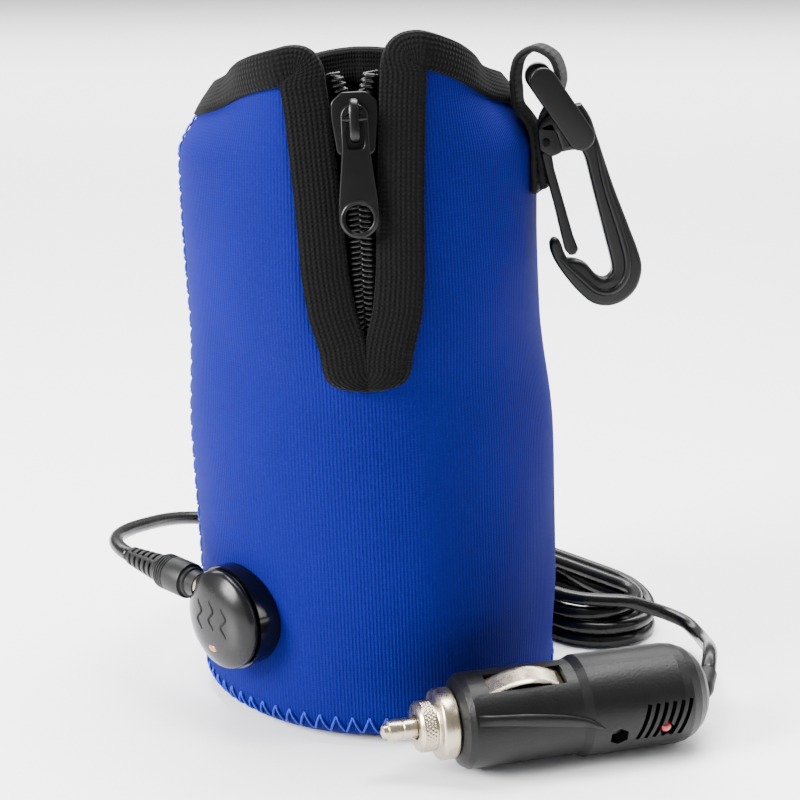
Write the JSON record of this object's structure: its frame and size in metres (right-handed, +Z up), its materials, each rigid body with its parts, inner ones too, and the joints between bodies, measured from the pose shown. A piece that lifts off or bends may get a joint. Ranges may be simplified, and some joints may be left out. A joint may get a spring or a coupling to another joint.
{
  "type": "bottle warmer",
  "caption": "Zipped fabric sleeve that warms a feeding bottle, with a side controller, a snap hook on a webbing loop and a lead to a car power plug.",
  "frame": {"origin": "centre of the sleeve base's underside, on the surface that it stands on", "axes": "+Z up the sleeve, -Y out of the zip, +X towards the hook"},
  "size_m": [0.1481, 0.1344, 0.1579],
  "materials": {
    "sleeve_fabric": "ribbed jersey over neoprene",
    "binding_knit": "coarse black knit",
    "lining_fabric": "smooth black lining",
    "blue_thread": "polyester thread",
    "webbing_fabric": "woven nylon webbing",
    "zip_tape_fabric": "woven tape",
    "zip_coil_nylon": "nylon coil",
    "slider_enamel": "gloss black enamel",
    "hook_plastic": "moulded acetal",
    "box_gloss": "gloss black",
    "box_satin": "satin dark grey",
    "amber_lens": "amber lens",
    "board": "solder mask",
    "steel": "plain",
    "nickel": "warm nickel plate",
    "heater_film": "polyimide film",
    "cord_pvc": "glossy PVC",
    "car_plug_plastic": "fine spark texture",
    "lead_plastic": "moulded PVC",
    "red_lens": "red lens",
    "white_plastic": "plain",
    "wire_red": "silicone insulation",
    "fuse_glass": "clear tube"
  },
  "bodies": {
    "root": {"sleeve_wall": "sleeve_fabric", "sleeve_base": "sleeve_fabric", "inner_lining": "lining_fabric", "base_pad": "lining_fabric", "heating_element": "heater_film", "thermal_switch": "white_plastic", "rim_binding": "binding_knit", "side_seam_thread": "blue_thread", "base_seam_thread": "blue_thread", "zip_stop": "zip_coil_nylon", "binding_point": "binding_knit", "webbing_loop": "webbing_fabric", "controller_base": "box_gloss", "controller_cover": "box_satin", "indicator_led": "amber_lens", "circuit_board": "board", "dc_jack": "lead_plastic", "jack_pin": "nickel", "backing_plate": "steel", "housing_screws": "steel", "heater_leads": "wire_red", "cord_run_plug": "cord_pvc", "cord_coil": "cord_pvc", "cord_run_car": "cord_pvc", "cord_tie": "lead_plastic", "car_plug_shell_front": "car_plug_plastic", "car_plug_shell_back": "car_plug_plastic", "fuse_spring": "steel", "car_plug_led": "red_lens", "car_plug_board": "board", "car_plug_screw": "steel", "cable_boot": "lead_plastic"},
    "left_lapel": {"lapel_left": "sleeve_fabric", "lapel_lining_left": "lining_fabric", "rim_binding_left": "binding_knit", "slit_binding_left": "binding_knit", "zip_tape_left": "zip_tape_fabric", "zip_coil_left": "zip_coil_nylon"},
    "right_lapel": {"lapel_right": "sleeve_fabric", "lapel_lining_right": "lining_fabric", "rim_binding_right": "binding_knit", "slit_binding_right": "binding_knit", "zip_tape_right": "zip_tape_fabric", "zip_coil_right": "zip_coil_nylon"},
    "slider": {"slider_body": "slider_enamel"},
    "puller": {"pull_tab": "slider_enamel"},
    "link": {"hook_link": "hook_plastic"},
    "hook": {"hook_body": "hook_plastic", "gate_pin": "steel"},
    "gate": {"hook_gate": "hook_plastic"},
    "dc_plug": {"dc_plug_body": "lead_plastic", "dc_plug_barrel": "nickel", "dc_plug_boot": "lead_plastic"},
    "tip": {"tip_contact": "nickel", "fuse": "fuse_glass"},
    "nose": {"nose_ring": "nickel"},
    "upper_contact": {"side_contact_upper": "nickel"},
    "lower_contact": {"side_contact_lower": "nickel"}
  },
  "joints": [
    {"name": "zip_slide", "type": "slide", "parent": "root", "child": "slider", "axis": [-0.0468, 0.1045, 0.9934], "range_m": [-0.04, 0]},
    {"name": "lapel_left_fold", "type": "hinge", "parent": "root", "child": "left_lapel", "pos_m": [-0.00789, -0.049, 0.07977], "axis": [0.3756, -0.2407, -0.895], "range_deg": [0, 15], "deforming": ["slit_binding_left", "zip_tape_left", "zip_coil_left"]},
    {"name": "lapel_right_fold", "type": "hinge", "parent": "root", "child": "right_lapel", "pos_m": [0.00231, -0.049, 0.08013], "axis": [0.3122, 0.2408, 0.919], "range_deg": [0, 15], "deforming": ["slit_binding_right", "zip_tape_right", "zip_coil_right"]},
    {"name": "pull_swing", "type": "hinge", "parent": "slider", "child": "puller", "pos_m": [-0.00473, -0.03927, 0.13986], "axis": [-0.9989, 0, -0.0471], "range_deg": [0, 150]},
    {"name": "link_swing", "type": "hinge", "parent": "root", "child": "link", "pos_m": [0.0355, -0.012, 0.1456], "axis": [0, -1, 0], "range_deg": [0, 70]},
    {"name": "hook_swing", "type": "hinge", "parent": "link", "child": "hook", "pos_m": [0.04395, -0.0154, 0.13369], "axis": [0, -1, 0], "range_deg": [0, 35]},
    {"name": "gate_press", "type": "hinge", "parent": "hook", "child": "gate", "pos_m": [0.03655, -0.0154, 0.13231], "axis": [0, -1, 0], "range_deg": [0, 12], "stiffness_Nm_per_rad": 0.02, "springref_deg": -11.46},
    {"name": "dc_plug_pull", "type": "slide", "parent": "root", "child": "dc_plug", "axis": [-0.6947, 0.7193, 0], "range_m": [0, 0.01], "deforming": ["cord_run_plug"]},
    {"name": "tip_press", "type": "slide", "parent": "root", "child": "tip", "axis": [0.9568, 0.2907, 0], "range_m": [0, 0.003], "stiffness_N_per_m": 400, "springref_m": -0.002, "deforming": ["fuse_spring"]},
    {"name": "nose_unscrew", "type": "hinge", "parent": "root", "child": "nose", "pos_m": [0.014, -0.05423, 0.0113], "axis": [-0.9568, -0.2907, 0], "range_deg": [0, 360]},
    {"name": "upper_contact_press", "type": "slide", "parent": "root", "child": "upper_contact", "axis": [-0.0898, 0.2957, -0.9511], "range_m": [0, 0.001], "stiffness_N_per_m": 1500, "springref_m": -0.0005},
    {"name": "lower_contact_press", "type": "slide", "parent": "root", "child": "lower_contact", "axis": [0.0898, -0.2957, 0.9511], "range_m": [0, 0.001], "stiffness_N_per_m": 1500, "springref_m": -0.0005}
  ],
  "couplings": [
    {"joint": "lapel_left_fold", "follows": "zip_slide", "rad_per_m": -6.545},
    {"joint": "lapel_right_fold", "follows": "zip_slide", "rad_per_m": -6.545}
  ]
}
